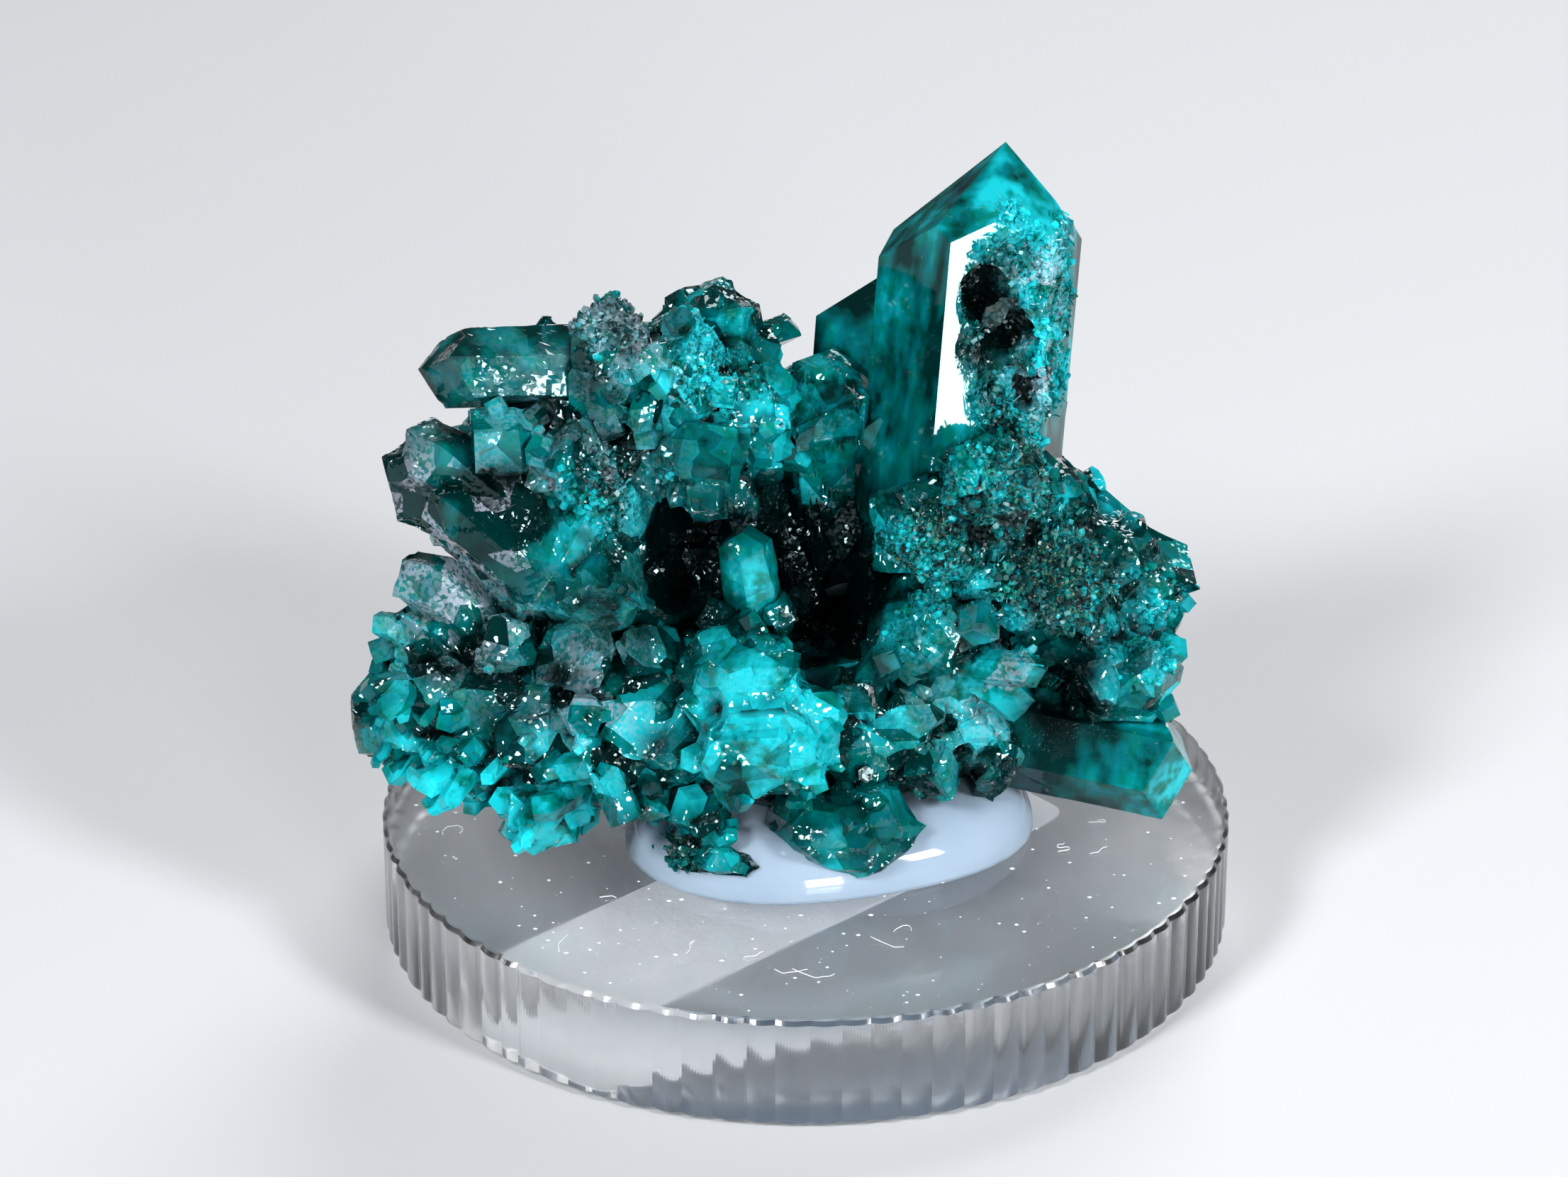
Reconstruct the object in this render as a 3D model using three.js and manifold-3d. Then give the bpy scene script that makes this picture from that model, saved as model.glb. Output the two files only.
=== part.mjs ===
// A dioptase specimen on its display base: one intergrown cluster of emerald-green crystals, held by
// a pad of milky glue on a round clear acrylic disc, with a paper label strip under the disc.
// Millimetres, +Z up, +Y away from the viewer. The origin is under the centre of the disc, on the table.

import * as THREE from "three";
import { mergeVertices } from "three/addons/utils/BufferGeometryUtils.js";
import Module from "manifold-3d";

const wasm = await Module();
wasm.setup();

// Driving dimensions of the base, its label and the glue
const BASE_DIAMETER = 30;
const BASE_THICKNESS = 4.1;
const FLUTE_COUNT = 88;
const FLUTE_DEPTH = 0.22;
const LABEL_LENGTH = 22;
const LABEL_WIDTH = 6.3;
const LABEL_THICKNESS = 0.1;
const LABEL_ANGLE = THREE.MathUtils.degToRad(42.4);
const LABEL_CENTRE = [-0.8, -2.9];
const GLUE_CENTRE = [0.6, -1.3];
const GLUE_RADII = [7.0, 6.1];
const GLUE_HEIGHT = 2.1;
const GLUE_CLEARANCE = 0.3;
const BASE_TOP = LABEL_THICKNESS + BASE_THICKNESS;

// Habit of dioptase: a six-sided prism under a three-faced cap. CAP_SLOPE is the cap's fall per unit of
// radius, and the cap never takes more than CAP_SHARE of a stubby crystal's length.
const PRISM_SIDES = 6;
const CAP_SLOPE = 1.23;
const CAP_SHARE = 0.7;
const LUMP_ROUGHNESS = 0.16;

// Each crystal grows from a buried root to its tip. Width is across corners, turn is degrees about its own axis,
// slope is a flatter or steeper cap, apex is how far the cap's point stands off the axis, and ridge is the slope
// of the smaller faces that blunt the cap's three ridges.
const HERO_CRYSTALS = [
  { root: [5.1, 0.4, 13.5], tip: [6.3, 4.2, 27.9], width: 7.1, turn: 70, slope: 1.1, apex: [0.5, -0.7], ridge: 1.05 },
  { root: [2.2, 2.6, 9.0], tip: [3.2, 6.3, 22.2], width: 6.0, turn: 24, slope: 1.2 },
];
const BACK_CRYSTALS = [
  { root: [1.6, 3.2, 10.0], tip: [0.4, 2.4, 20.6], width: 4.8, turn: 5, slope: 0.7 },
  { root: [-2.0, 5.0, 12.0], tip: [-4.5, 8.2, 20.5], width: 4.6, turn: 30 },
  { root: [3.5, 5.0, 11.0], tip: [8.5, 8.8, 19.0], width: 4.4, turn: 12 },
  { root: [-7.0, 3.5, 13.0], tip: [-10.5, 8.0, 16.0], width: 4.6, turn: 44 },
  { root: [6.5, 3.0, 10.0], tip: [12.0, 7.2, 11.0], width: 4.2, turn: 8 },
  { root: [-5.5, 3.0, 9.0], tip: [-9.0, 7.6, 8.6], width: 4.0, turn: 15 },
  { root: [1.0, 5.0, 9.0], tip: [1.5, 9.6, 10.2], width: 4.6, turn: 33 },
];
const LEFT_CRYSTALS = [
  { root: [-5.5, 0.6, 21.0], tip: [-13.2, -0.6, 21.4], width: 2.9, turn: 20 },
  { root: [-8.5, 0.5, 15.2], tip: [-14.6, -0.8, 18.2], width: 4.0, turn: 36 },
  { root: [-9.5, -0.8, 15.2], tip: [-13.6, -1.8, 19.7], width: 2.6, turn: 10 },
  { root: [-8.6, -2.2, 13.4], tip: [-12.8, -3.0, 18.0], width: 2.0, turn: 0 },
  { root: [-9.4, -1.6, 10.2], tip: [-13.9, -2.4, 15.1], width: 2.3, turn: 25 },
  { root: [-11.0, -1.6, 8.6], tip: [-14.2, -2.6, 13.3], width: 2.8, turn: 12 },
  { root: [-6.8, -0.6, 20.0], tip: [-6.6, -1.2, 24.6], width: 3.0, turn: 30 },
  { root: [-3.2, 2.0, 18.6], tip: [-3.2, 2.0, 23.4], width: 3.3, turn: 8, slope: 0.5 },
  { root: [-4.4, 0.2, 18.5], tip: [-4.3, -1.6, 23.3], width: 3.8, turn: 22, slope: 0.6 },
  { root: [-3.4, 0.0, 17.5], tip: [-0.9, -1.8, 21.8], width: 3.2, turn: 0 },
  { root: [-4.6, -0.5, 18.2], tip: [-2.6, -4.2, 19.4], width: 3.0, turn: 16 },
  { root: [-4.5, -1.0, 18.6], tip: [-3.0, -4.4, 17.6], width: 2.0, turn: 40 },
  { root: [-7.0, 0.0, 17.5], tip: [-8.3, -4.4, 19.6], width: 3.4, turn: 14 },
  { root: [-8.8, 0.0, 18.0], tip: [-11.2, -3.2, 20.2], width: 2.6, turn: 50 },
  { root: [-7.0, -1.0, 14.0], tip: [-7.0, -5.2, 15.6], width: 3.8, turn: 27 },
  { root: [-7.6, -1.0, 12.0], tip: [-8.4, -5.6, 11.9], width: 3.0, turn: 3 },
  { root: [-5.6, -1.6, 11.6], tip: [-5.2, -5.0, 12.4], width: 2.4, turn: 48 },
  { root: [-8.8, -1.0, 11.5], tip: [-11.2, -4.6, 12.4], width: 2.6, turn: 18 },
];
const LOWER_LEFT_CRYSTALS = [
  { root: [-10.8, -2.0, 8.6], tip: [-15.8, -2.4, 9.5], width: 3.6, turn: 7, slope: 0.7 },
  { root: [-10.6, -2.6, 8.0], tip: [-14.4, -3.4, 11.6], width: 2.6, turn: 33 },
  { root: [-9.6, -2.6, 8.6], tip: [-13.2, -4.8, 7.4], width: 3.4, turn: 12, slope: 0.8 },
  { root: [-8.6, -3.0, 9.2], tip: [-9.4, -6.6, 5.6], width: 3.4, turn: 40, slope: 0.8 },
  { root: [-8.4, -2.6, 9.0], tip: [-10.6, -6.0, 8.8], width: 3.2, turn: 25 },
  { root: [-6.4, -2.6, 9.0], tip: [-7.0, -6.6, 8.0], width: 3.4, turn: 52 },
  { root: [-5.2, -2.6, 9.4], tip: [-4.4, -5.6, 10.2], width: 2.6, turn: 5 },
];
const CENTRE_CRYSTALS = [
  { root: [-2.2, -2.6, 10.4], tip: [-1.4, -8.2, 10.2], width: 4.2, turn: 15, slope: 0.4 },
  { root: [-1.4, -2.6, 11.0], tip: [-2.2, -3.0, 16.4], width: 2.0, turn: 20, slope: 0.6 },
  { root: [-2.2, -2.6, 12.0], tip: [-3.6, -4.2, 14.0], width: 1.3, turn: 8 },
  { root: [-1.6, -2.6, 12.0], tip: [-0.7, -3.8, 14.1], width: 1.2, turn: 30 },
  { root: [0.6, -1.0, 8.4], tip: [2.2, -5.0, 11.6], width: 2.4, turn: 11 },
];
const SHOULDER_CRYSTALS = [
  { root: [5.6, 1.0, 15.6], tip: [13.0, 0.2, 11.2], width: 5.4, turn: 28, slope: 0.4 },
];
const COLUMN_CRYSTALS = [
  { root: [4.6, -0.6, 12.2], tip: [3.6, -5.2, 13.0], width: 3.2, turn: 9, slope: 0.6 },
  { root: [5.4, -2.0, 12.4], tip: [6.0, -5.2, 14.0], width: 1.6, turn: 28 },
  { root: [4.8, -2.8, 11.2], tip: [8.2, -4.6, 11.9], width: 1.25, turn: 15 },
  { root: [4.8, -2.0, 10.6], tip: [7.9, -4.0, 10.4], width: 1.9, turn: 2 },
  { root: [1.4, -2.6, 9.6], tip: [2.9, -5.2, 13.0], width: 1.2, turn: 24 },
  { root: [4.0, -1.0, 7.0], tip: [3.2, -4.2, 11.0], width: 3.2, turn: 31 },
  { root: [6.0, -1.6, 7.0], tip: [6.2, -4.2, 10.0], width: 2.2, turn: 12 },
  { root: [6.2, -2.4, 6.0], tip: [7.0, -4.2, 8.8], width: 1.1, turn: 45 },
  { root: [4.2, -2.0, 7.0], tip: [4.4, -5.4, 8.2], width: 2.4, turn: 8 },
];
const RIGHT_LOW_CRYSTALS = [
  { root: [5.6, -0.6, 7.7], tip: [13.5, -2.4, 6.8], width: 3.8, turn: 22, slope: 0.75 },
  { root: [6.0, 0.6, 8.2], tip: [11.6, 0.2, 8.4], width: 3.0, turn: 5 },
  { root: [9.0, 0.2, 8.4], tip: [13.0, -1.2, 8.6], width: 1.8, turn: 37, slope: 0.8 },
];
const FOOT_CRYSTALS = [
  { root: [-4.9, -5.8, 5.5], tip: [-1.5, -7.0, 5.5], width: 1.2, turn: 13 },
  { root: [-4.4, -4.2, 5.0], tip: [-3.0, -6.4, 7.4], width: 2.2, turn: 29, slope: 0.8 },
  { root: [-5.4, -3.6, 6.4], tip: [-5.5, -6.6, 7.6], width: 1.9, turn: 41 },
];

const CRYSTALS = [
  ...HERO_CRYSTALS,
  ...BACK_CRYSTALS,
  ...LEFT_CRYSTALS,
  ...LOWER_LEFT_CRYSTALS,
  ...CENTRE_CRYSTALS,
  ...SHOULDER_CRYSTALS,
  ...COLUMN_CRYSTALS,
  ...RIGHT_LOW_CRYSTALS,
  ...FOOT_CRYSTALS,
];

// Solid masses that the crystals grow from: centre, half sizes, and how finely each is faceted. The foot masses
// sit in the glue, and the second of them is the rounded crystal at the front.
const FOOT_MASSES = [
  { at: [0.6, -0.6, 7.9], size: [6.4, 4.8, 3.1], detail: 2 },
  { at: [1.45, -5.4, 6.3], size: [2.55, 2.0, 1.7], detail: 1 },
];
const MASSES = [
  { at: [-7.2, 0.8, 15.6], size: [5.4, 4.4, 6.0], detail: 2 },
  { at: [-10.2, -1.6, 9.6], size: [4.2, 3.6, 3.0], detail: 1 },
  { at: [-5.4, -2.0, 9.4], size: [4.2, 3.9, 3.2], detail: 1 },
  { at: [0.8, 4.0, 12.0], size: [6.4, 3.6, 5.4], detail: 1 },
  { at: [6.6, 0.4, 14.8], size: [3.9, 3.7, 3.7], detail: 2 },
  { at: [10.0, 0.3, 12.0], size: [3.0, 3.2, 3.4], detail: 2 },
  { at: [4.6, -1.4, 10.8], size: [2.7, 2.7, 3.6], detail: 2 },
  { at: [8.0, 0.6, 7.6], size: [4.0, 3.0, 2.0], detail: 1 },
  { at: [-3.0, 0.6, 19.4], size: [2.6, 2.8, 2.9], detail: 2 },
  { at: [-2.0, -5.2, 11.6], size: [2.3, 2.2, 2.3], detail: 2 },
  { at: [-1.2, -5.7, 10.2], size: [2.55, 2.2, 2.5], detail: 2 },
  { at: [4.1, -2.4, 16.2], size: [2.0, 2.0, 1.9], detail: 1 },
  { at: [6.6, -2.2, 17.8], size: [2.2, 1.9, 2.0], detail: 1 },
  { at: [8.8, -2.4, 14.3], size: [2.0, 1.8, 2.0], detail: 1 },
  { at: [11.0, -1.9, 10.6], size: [1.9, 1.8, 2.1], detail: 1 },
];

// Dark hollows between the masses, and the corroded pits in the tall crystal's face and the shoulder.
const HOLLOWS = [
  { at: [-4.0, -3.2, 15.3], size: [1.7, 4.0, 2.1], detail: 1 },
  { at: [0.7, -3.0, 13.4], size: [1.7, 4.6, 2.9], detail: 1 },
  { at: [8.4, -3.4, 9.9], size: [1.6, 3.0, 1.4], detail: 1 },
];
const PITS = [
  { at: [6.0, 0.1, 23.8], size: [0.9, 1.3, 1.2], detail: 1 },
  { at: [6.9, -0.3, 22.3], size: [1.0, 1.2, 1.3], detail: 1 },
  { at: [7.5, -0.6, 20.5], size: [0.7, 0.9, 0.8], detail: 1 },
];

// Small crystals that crust a mass all round: how many, and their range of widths.
const CRUSTS = [
  { mass: 0, count: 11, widths: [0.8, 1.6] },
  { mass: 1, count: 4, widths: [0.8, 1.5] },
  { mass: 2, count: 4, widths: [0.7, 1.3] },
  { mass: 3, count: 4, widths: [1.1, 2.2] },
  { mass: 4, count: 4, widths: [0.6, 1.2] },
  { mass: 5, count: 5, widths: [0.6, 1.2] },
  { mass: 6, count: 2, widths: [0.6, 1.1] },
  { mass: 8, count: 4, widths: [0.6, 1.2] },
];
const CRUST_STRETCH = [1.4, 2.4];
const CRUST_BURIED = 0.7;
const CRUST_LEAN = 0.6;
const CRUST_REACH = { low: [-14.8, -6.6, 7.2], high: [12.8, 8.6, 23.2] };
const RANDOM_SEED = 41;

// A repeatable stream of numbers from 0 to 1.
function randomStream(seed) {
  let state = seed >>> 0;
  return () => {
    state = (state + 0x6d2b79f5) >>> 0;
    let mixed = Math.imul(state ^ (state >>> 15), state | 1);
    mixed ^= mixed + Math.imul(mixed ^ (mixed >>> 7), mixed | 61);
    return ((mixed ^ (mixed >>> 14)) >>> 0) / 4294967296;
  };
}

const random = randomStream(RANDOM_SEED);
const between = (low, high) => low + (high - low) * random();
const spread = () => 2 * random() - 1;
const vector = (point) => new THREE.Vector3(...point);

// A closed geometry as a solid that can be joined and cut.
function solid(geometry) {
  const bare = new THREE.BufferGeometry().setAttribute("position", geometry.getAttribute("position"));
  if (geometry.index) bare.setIndex(geometry.index);
  const merged = mergeVertices(bare, 1e-5);
  return new wasm.Manifold(
    new wasm.Mesh({
      numProp: 3,
      vertProperties: new Float32Array(merged.attributes.position.array),
      triVerts: new Uint32Array(merged.index.array),
    }),
  );
}

function geometryOf(made) {
  const mesh = made.getMesh();
  return new THREE.BufferGeometry()
    .setAttribute("position", new THREE.BufferAttribute(new Float32Array(mesh.vertProperties), 3))
    .setIndex(new THREE.BufferAttribute(new Uint32Array(mesh.triVerts), 1));
}

const joined = (solids) => solids.reduce((sum, next) => sum.add(next));
const outerSkin = (made) => made.decompose().reduce((best, next) => (next.volume() > best.volume() ? next : best));
const cutBy = (made, tools) => tools.reduce((left, tool) => left.subtract(tool), made);

// One crystal: a six-sided prism met by a wide three-sided cone. The cone's faces stand over every other prism
// edge, so the shoulder zigzags: an edge under a face falls by the full slope, and one under a ridge by half.
function crystal({ root, tip, width, turn = 0, slope = CAP_SLOPE, apex = [0, 0], ridge = 0 }, grow = 0) {
  const along = vector(tip).sub(vector(root));
  const length = along.length() + 2 * grow;
  const radius = width / 2 + grow;
  const lean = new THREE.Quaternion().setFromUnitVectors(new THREE.Vector3(0, 0, 1), along.normalize());
  const placed = (geometry) => solid(geometry.applyQuaternion(lean).translate(...root));
  const spin = THREE.MathUtils.degToRad(turn - 90);
  const prism = new THREE.CylinderGeometry(radius, radius, length, PRISM_SIDES);
  const cap = (fall, offset) => {
    const height = 2 * (length + width);
    const cone = new THREE.ConeGeometry((2 * height) / fall, height, PRISM_SIDES / 2);
    cone.rotateX(Math.PI / 2).translate(0, 0, length - grow - height / 2);
    return placed(cone.rotateZ(spin + offset).translate(...apex, 0));
  };
  const steepness = Math.min(slope, (CAP_SHARE * length) / radius);
  const body = placed(prism.rotateX(Math.PI / 2).translate(0, 0, length / 2 - grow).rotateZ(spin));
  const capped = body.intersect(cap(steepness, 0));
  return ridge ? capped.intersect(cap(ridge, Math.PI / 3)) : capped;
}

// An irregular mass: a faceted ellipsoid whose corners are pushed in and out at random. Its own stream of numbers
// comes from its place, so a grown copy has the same shape.
function mass({ at, size, detail }, grow = 0) {
  const ball = new THREE.IcosahedronGeometry(1, detail);
  const lump = mergeVertices(
    new THREE.BufferGeometry().setAttribute("position", ball.getAttribute("position")),
    1e-4,
  );
  const pushes = randomStream(RANDOM_SEED + Math.round(100 * vector(at).dot(vector(size))));
  const corners = lump.getAttribute("position");
  const corner = new THREE.Vector3();
  for (let index = 0; index < corners.count; index += 1) {
    corner.fromBufferAttribute(corners, index).multiplyScalar(1 + LUMP_ROUGHNESS * (2 * pushes() - 1));
    corners.setXYZ(index, corner.x, corner.y, corner.z);
  }
  const [across, deep, tall] = size.map((half) => half + grow);
  return solid(lump.scale(across, deep, tall).translate(...at));
}

// Small crystals standing out of a mass at random places, leaning off its normal by up to CRUST_LEAN.
function crust({ mass: index, count, widths }) {
  const { at, size } = MASSES[index];
  const reach = new THREE.Box3(vector(CRUST_REACH.low), vector(CRUST_REACH.high));
  const made = [];
  while (made.length < count) {
    const way = new THREE.Vector3(spread(), spread(), spread());
    const width = between(...widths);
    const length = width * between(...CRUST_STRETCH);
    const turn = between(0, 60);
    const lean = new THREE.Vector3(spread(), spread(), spread()).multiplyScalar(CRUST_LEAN);
    if (way.length() > 1 || way.length() < 0.1) continue;
    way.normalize();
    const start = way.clone().multiply(vector(size)).add(vector(at));
    const outward = way.clone().divide(vector(size)).normalize().add(lean).normalize();
    const root = start.clone().addScaledVector(outward, -CRUST_BURIED * length);
    const tip = root.clone().addScaledVector(outward, length * (1 + CRUST_BURIED));
    if (!reach.containsPoint(root) || !reach.containsPoint(tip)) continue;
    made.push(crystal({ root: root.toArray(), tip: tip.toArray(), width, turn }));
  }
  return made;
}

// The whole cluster: masses hollowed out, then every crystal and crust joined on, then the pits. Only the outer
// skin is kept, so gaps that the crystals seal off inside are solid.
function dioptaseCluster() {
  const whole = joined([...MASSES, ...FOOT_MASSES].map((spec) => mass(spec)));
  const body = cutBy(whole, HOLLOWS.map((spec) => mass(spec)));
  const grown = CRYSTALS.map((spec) => crystal(spec));
  const small = CRUSTS.flatMap((spec) => crust(spec));
  return outerSkin(cutBy(joined([body, ...grown, ...small]), PITS.map((spec) => mass(spec))));
}

// The disc's outline: crests on the full circle with a shallow groove between each two, as a cut edge has.
function baseGeometry() {
  const count = 2 * FLUTE_COUNT;
  const outline = [];
  for (let step = 0; step < count; step += 1) {
    const angle = (2 * Math.PI * step) / count;
    const radius = BASE_DIAMETER / 2 - (step % 2 ? FLUTE_DEPTH : 0);
    outline.push(new THREE.Vector2(radius * Math.cos(angle), radius * Math.sin(angle)));
  }
  const disc = new THREE.ExtrudeGeometry(new THREE.Shape(outline), { depth: BASE_THICKNESS, bevelEnabled: false });
  return disc.translate(0, 0, LABEL_THICKNESS);
}

const labelGeometry = () => new THREE.BoxGeometry(LABEL_LENGTH, LABEL_WIDTH, LABEL_THICKNESS);

// The glue: a lathe-turned puddle with a round lip, stretched to an uneven outline, then hollowed where the
// foot of the cluster sits in it.
function glueGeometry() {
  const lip = [
    [0, 0],
    [0.95, 0],
    [1, 0.22],
    [0.985, 0.5],
    [0.92, 0.76],
    [0.78, 0.93],
    [0.5, 1],
    [0, 1],
  ];
  const puddle = new THREE.LatheGeometry(lip.map((point) => new THREE.Vector2(...point)), 24);
  puddle.rotateX(Math.PI / 2);
  const corners = puddle.getAttribute("position");
  for (let index = 0; index < corners.count; index += 1) {
    const angle = Math.atan2(corners.getY(index), corners.getX(index));
    const bulge = 1 + 0.05 * Math.cos(3 * angle + 0.6) + 0.04 * Math.cos(2 * angle - 1.1);
    corners.setXY(index, corners.getX(index) * bulge, corners.getY(index) * bulge);
  }
  puddle.scale(GLUE_RADII[0], GLUE_RADII[1], GLUE_HEIGHT).translate(...GLUE_CENTRE, BASE_TOP);
  const seats = [...MASSES, ...FOOT_MASSES].map((spec) => mass(spec, GLUE_CLEARANCE));
  const sockets = CRYSTALS.map((spec) => crystal(spec, GLUE_CLEARANCE));
  return geometryOf(outerSkin(cutBy(solid(puddle), [...seats, ...sockets])));
}

const dioptase = new THREE.MeshStandardMaterial({ color: 0x00806e, roughness: 0.25, metalness: 0 });
const acrylic = new THREE.MeshStandardMaterial({ color: 0xeaf1f4, roughness: 0.06, metalness: 0 });
const glue = new THREE.MeshStandardMaterial({ color: 0xdfe4ee, roughness: 0.2, metalness: 0 });
const paper = new THREE.MeshStandardMaterial({ color: 0xf2f4f7, roughness: 0.85, metalness: 0 });

function named(name, geometry, material) {
  const mesh = new THREE.Mesh(geometry, material);
  mesh.name = name;
  return mesh;
}

const cluster = dioptaseCluster();
const label = named("label_strip", labelGeometry(), paper);
label.position.set(...LABEL_CENTRE, LABEL_THICKNESS / 2);
label.rotation.z = LABEL_ANGLE;

const specimen = new THREE.Group();
specimen.add(
  named("dioptase_cluster", geometryOf(cluster), dioptase),
  named("glue_pad", glueGeometry(), glue),
  named("acrylic_base", baseGeometry(), acrylic),
  label,
);

export default specimen;
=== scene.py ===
# %% [markdown]
# # A dioptase specimen on a clear display base
#
# Dioptase is a copper mineral that grows as small emerald prisms under three-sided caps. This specimen is a
# cluster of them, held by a pad of milky glue on a round acrylic disc, with a strip of paper under the disc.
# The solids of the frame give every size and place. The cells below dress them: each new surface is worked out
# as whole arrays, in millimetres, and put into a mesh in one go.

import math
from itertools import product

import bpy
import numpy as np
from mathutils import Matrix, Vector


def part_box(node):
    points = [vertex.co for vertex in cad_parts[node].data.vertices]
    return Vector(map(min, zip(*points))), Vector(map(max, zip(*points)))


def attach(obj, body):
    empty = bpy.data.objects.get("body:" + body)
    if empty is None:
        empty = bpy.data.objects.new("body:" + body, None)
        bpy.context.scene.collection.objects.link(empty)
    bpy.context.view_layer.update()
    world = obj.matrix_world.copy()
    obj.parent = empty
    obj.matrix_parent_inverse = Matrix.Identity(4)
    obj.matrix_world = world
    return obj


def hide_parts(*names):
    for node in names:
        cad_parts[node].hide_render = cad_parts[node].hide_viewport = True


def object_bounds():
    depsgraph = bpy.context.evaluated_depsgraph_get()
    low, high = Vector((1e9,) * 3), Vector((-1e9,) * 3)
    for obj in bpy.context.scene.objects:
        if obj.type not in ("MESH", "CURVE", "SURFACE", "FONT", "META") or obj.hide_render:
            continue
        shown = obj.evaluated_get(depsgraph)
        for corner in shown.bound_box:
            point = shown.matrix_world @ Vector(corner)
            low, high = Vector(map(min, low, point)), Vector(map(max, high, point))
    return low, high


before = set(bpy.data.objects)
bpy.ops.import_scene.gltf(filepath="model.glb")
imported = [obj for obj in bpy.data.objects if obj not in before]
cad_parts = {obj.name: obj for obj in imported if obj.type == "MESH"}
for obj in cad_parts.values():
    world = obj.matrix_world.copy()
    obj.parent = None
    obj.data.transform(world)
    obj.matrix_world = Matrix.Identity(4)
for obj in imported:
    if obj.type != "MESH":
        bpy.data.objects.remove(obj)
cad_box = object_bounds()
MM = 0.001
LOW, HIGH = (np.array(corner) / MM for corner in cad_box)
print("frame box, mm:", LOW.round(2), HIGH.round(2))

# %% [markdown]
# ## Camera
#
# The photograph looks down on the disc with a long lens, so the disc's ellipse gives the angle and the distance.
# A camera could be placed by eye and nudged, but four measured numbers put it where the photograph was taken:
# the elevation, the distance, and how far the lens axis passes beside and above the origin.

# %% Camera
PHOTO_WIDTH = 2212
FOCAL_PIXELS = 8000
SENSOR_WIDTH = 36
ELEVATION = math.radians(27.1)
DISTANCE = 203.3
AIM_RIGHT = -0.77
AIM_UP = 11.31

rightward = np.array((1, 0, 0))
upward = np.array((0, math.sin(ELEVATION), math.cos(ELEVATION)))
forward = np.array((0, math.cos(ELEVATION), -math.sin(ELEVATION)))
camera = bpy.data.objects.new("camera", bpy.data.cameras.new("camera"))
camera.location = (rightward * AIM_RIGHT + upward * AIM_UP - forward * DISTANCE) * MM
camera.rotation_euler = (math.pi / 2 - ELEVATION, 0, 0)
camera.data.sensor_fit = "HORIZONTAL"
camera.data.sensor_width = SENSOR_WIDTH
camera.data.lens = FOCAL_PIXELS / PHOTO_WIDTH * SENSOR_WIDTH
camera.data.clip_start = 0.01
bpy.context.scene.collection.objects.link(camera)
bpy.context.scene.camera = camera
print("camera at, mm:", np.array(camera.location).round(4) / MM)

# %% [markdown]
# ## Light
#
# Gem faces show their lights as shapes, so the lamps are rectangles, as softboxes are: one on each side in
# front, a weaker one behind for the edges, and a small low one in front. The tall crystal's face mirrors that one
# to the camera, as a white stripe. A dim grey world fills the rest, and keeps the gaps between crystals dark.

# %% Softboxes
SOFTBOXES = {
    "softbox_left": dict(place=(-190, -230, 250), size=(80, 115), watts=1.5),
    "softbox_right": dict(place=(230, -190, 190), size=(60, 90), watts=1.1),
    "softbox_front": dict(place=(96, -285, 42), size=(66, 76), watts=0.68),
    "softbox_back": dict(place=(90, 260, 260), size=(220, 120), watts=0.9),
}
TARGET = np.array((0, 0, 13))
WORLD_COLOUR = (0.82, 0.88, 0.95, 1)
WORLD_STRENGTH = 0.09


def aim(place, target):
    """Turns an object so that its -Z axis runs from place to target: heading about Z, then tilt about X."""
    across = target - place
    flat = math.hypot(across[0], across[1])
    return (math.atan2(flat, -across[2]), 0, math.atan2(across[1], across[0]) - math.pi / 2)


for name, box in SOFTBOXES.items():
    lamp = bpy.data.lights.new(name, "AREA")
    lamp.shape = "RECTANGLE"
    lamp.size, lamp.size_y = (side * MM for side in box["size"])
    lamp.energy = box["watts"]
    holder = bpy.data.objects.new(name, lamp)
    holder.location = np.array(box["place"]) * MM
    holder.rotation_euler = aim(np.array(box["place"]), TARGET)
    bpy.context.scene.collection.objects.link(holder)

world = bpy.data.worlds.new("studio")
world.use_nodes = True
world.node_tree.nodes["Background"].inputs["Color"].default_value = WORLD_COLOUR
world.node_tree.nodes["Background"].inputs["Strength"].default_value = WORLD_STRENGTH
bpy.context.scene.world = world
bpy.context.scene.view_settings.view_transform = "Standard"
print("softboxes:", len(SOFTBOXES))

# %% [markdown]
# ## From arrays to a mesh
#
# Blender can build a mesh with operators or vertex by vertex. Here every surface is already an array of points
# and an array of triangles, so `foreach_set` copies them over in one call each, which is quick even for a
# hundred thousand faces. Extra arrays, such as how corroded each point is, become attributes for the shaders.

# %% Mesh maker
def make_piece(name, points, faces, material, slot, replaces=(), smooth=False, attributes=None):
    """An object at the origin from points in millimetres and triangles, riding on the specimen."""
    mesh = bpy.data.meshes.new(name)
    mesh.vertices.add(len(points))
    mesh.vertices.foreach_set("co", (points * MM).astype(np.float32).ravel())
    mesh.loops.add(faces.size)
    mesh.loops.foreach_set("vertex_index", faces.astype(np.int32).ravel())
    mesh.polygons.add(len(faces))
    mesh.polygons.foreach_set("loop_start", np.arange(0, faces.size, 3, dtype=np.int32))
    mesh.polygons.foreach_set("use_smooth", np.full(len(faces), smooth))
    mesh.update(calc_edges=True)
    for key, values in (attributes or {}).items():
        mesh.attributes.new(key, "FLOAT", "POINT").data.foreach_set("value", values.astype(np.float32))
    mesh.materials.append(material)
    piece = bpy.data.objects.new(name, mesh)
    bpy.context.scene.collection.objects.link(piece)
    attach(piece, "root")
    if replaces:
        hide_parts(*replaces)
    print(f"{name}: {len(points)} points, {len(faces)} triangles")


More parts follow.
